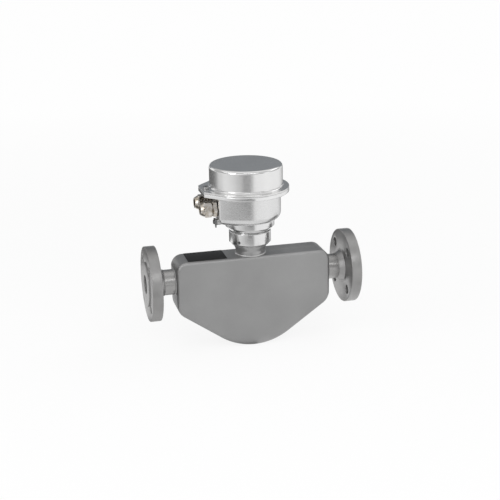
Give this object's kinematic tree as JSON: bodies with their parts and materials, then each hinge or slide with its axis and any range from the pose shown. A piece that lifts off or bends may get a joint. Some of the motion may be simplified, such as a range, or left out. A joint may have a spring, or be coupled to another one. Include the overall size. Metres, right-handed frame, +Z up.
{
  "type": "coriolis flow meter",
  "caption": "Flanged inline mass flow meter with a welded casing round bent measuring tubes and a turnable stainless transmitter on top.",
  "frame": {"origin": "centre of the inlet flange's raised sealing face, on the pipe axis", "axes": "+X along the pipe axis from inlet to outlet, +Y to the rear, +Z up towards the transmitter"},
  "size_m": [0.329, 0.13, 0.2845],
  "materials": {
    "turned_stainless": "machined and pickled stainless steel",
    "satin_stainless": "bead blasted stainless steel sheet",
    "polished_stainless": "electropolished stainless steel",
    "hardware_steel": "stainless steel screws and clamps",
    "nickel_brass": "nickel plated brass",
    "black_rubber": "black sealing rubber",
    "copper_winding": "varnished copper wire",
    "magnet_steel": "plated magnets on steel cups",
    "pale_plastic": "moulded plastic and insulated leads",
    "dark_plastic": "potted electronics and glass to metal seal",
    "green_plastic": "moulded terminal block",
    "black_plate": "black coated plate, left bare"
  },
  "bodies": {
    "sensor": {"inlet_flange": "turned_stainless", "outlet_flange": "turned_stainless", "inlet_manifold": "turned_stainless", "outlet_manifold": "turned_stainless", "support_beam": "turned_stainless", "brace_plates": "turned_stainless", "temperature_sensor": "hardware_steel", "casing_front_shell": "satin_stainless", "casing_rear_shell": "satin_stainless", "nameplate": "black_plate", "neck": "satin_stainless", "socket_ring": "polished_stainless", "feedthrough": "dark_plastic", "coil_leads": "pale_plastic"},
    "front_tube": {"front_measuring_tube": "turned_stainless", "front_tube_brackets": "turned_stainless", "drive_coil": "copper_winding", "pickoff_coils": "copper_winding"},
    "rear_tube": {"rear_measuring_tube": "turned_stainless", "rear_tube_brackets": "turned_stainless", "drive_magnet": "magnet_steel", "pickoff_magnets": "magnet_steel"},
    "transmitter": {"sensor_cable": "black_rubber", "housing_collar": "polished_stainless", "turn_seal": "black_rubber", "housing_bowl": "polished_stainless", "housing_flange": "polished_stainless", "entry_plate": "turned_stainless", "cover_seal": "black_rubber", "front_gland_body": "nickel_brass", "rear_gland_body": "nickel_brass", "front_gland_seal": "black_rubber", "rear_gland_seal": "black_rubber", "front_gland_insert": "black_rubber", "rear_gland_insert": "black_rubber", "module_posts": "hardware_steel", "electronics_module": "dark_plastic", "module_screws": "hardware_steel", "terminal_block": "green_plastic", "sensor_plug": "pale_plastic", "ground_boss": "turned_stainless", "ground_clamp": "hardware_steel", "ground_washer": "hardware_steel"},
    "cover": {"cover": "polished_stainless"},
    "cover_screw": {"cover_screw": "hardware_steel"},
    "front_gland_nut": {"front_gland_nut": "nickel_brass"},
    "rear_gland_nut": {"rear_gland_nut": "nickel_brass"},
    "lock_screw": {"lock_screw": "hardware_steel"},
    "ground_screw": {"ground_screw": "hardware_steel"}
  },
  "joints": [
    {"name": "housing_turn", "type": "hinge", "parent": "sensor", "child": "transmitter", "pos_m": [0.1645, 0, 0.0727], "axis": [0, 0, 1], "range_deg": [-175, 175]},
    {"name": "cover_lift", "type": "slide", "parent": "transmitter", "child": "cover", "axis": [0, 0, 1], "range_m": [0, 0.085]},
    {"name": "cover_screw_turn", "type": "hinge", "parent": "cover", "child": "cover_screw", "pos_m": [0.0979, 0, 0.1422], "axis": [0, 0, 1], "range_deg": [0, 1440]},
    {"name": "front_gland_nut_turn", "type": "hinge", "parent": "transmitter", "child": "front_gland_nut", "pos_m": [0.101, -0.0205, 0.1155], "axis": [-1, 0, 0], "range_deg": [0, 1080]},
    {"name": "rear_gland_nut_turn", "type": "hinge", "parent": "transmitter", "child": "rear_gland_nut", "pos_m": [0.101, 0.0205, 0.1155], "axis": [-1, 0, 0], "range_deg": [0, 1080]},
    {"name": "lock_screw_turn", "type": "hinge", "parent": "sensor", "child": "lock_screw", "pos_m": [0.1645, 0, 0.0592], "axis": [-0.7071, -0.7071, 0], "range_deg": [0, 720]},
    {"name": "ground_screw_turn", "type": "hinge", "parent": "transmitter", "child": "ground_screw", "pos_m": [0.108, -0.021, 0.0955], "axis": [-1, 0, 0], "range_deg": [0, 1080]},
    {"name": "front_tube_swing", "type": "hinge", "parent": "sensor", "child": "front_tube", "pos_m": [0.1645, -0.0105, -0.0165], "axis": [1, 0, 0], "range_deg": [-0.25, 0.25], "stiffness_Nm_per_rad": 5},
    {"name": "rear_tube_swing", "type": "hinge", "parent": "sensor", "child": "rear_tube", "pos_m": [0.1645, 0.0105, -0.0165], "axis": [1, 0, 0], "range_deg": [-0.25, 0.25], "stiffness_Nm_per_rad": 5}
  ],
  "couplings": [
    {"joint": "rear_tube_swing", "follows": "front_tube_swing", "ratio": -1}
  ]
}
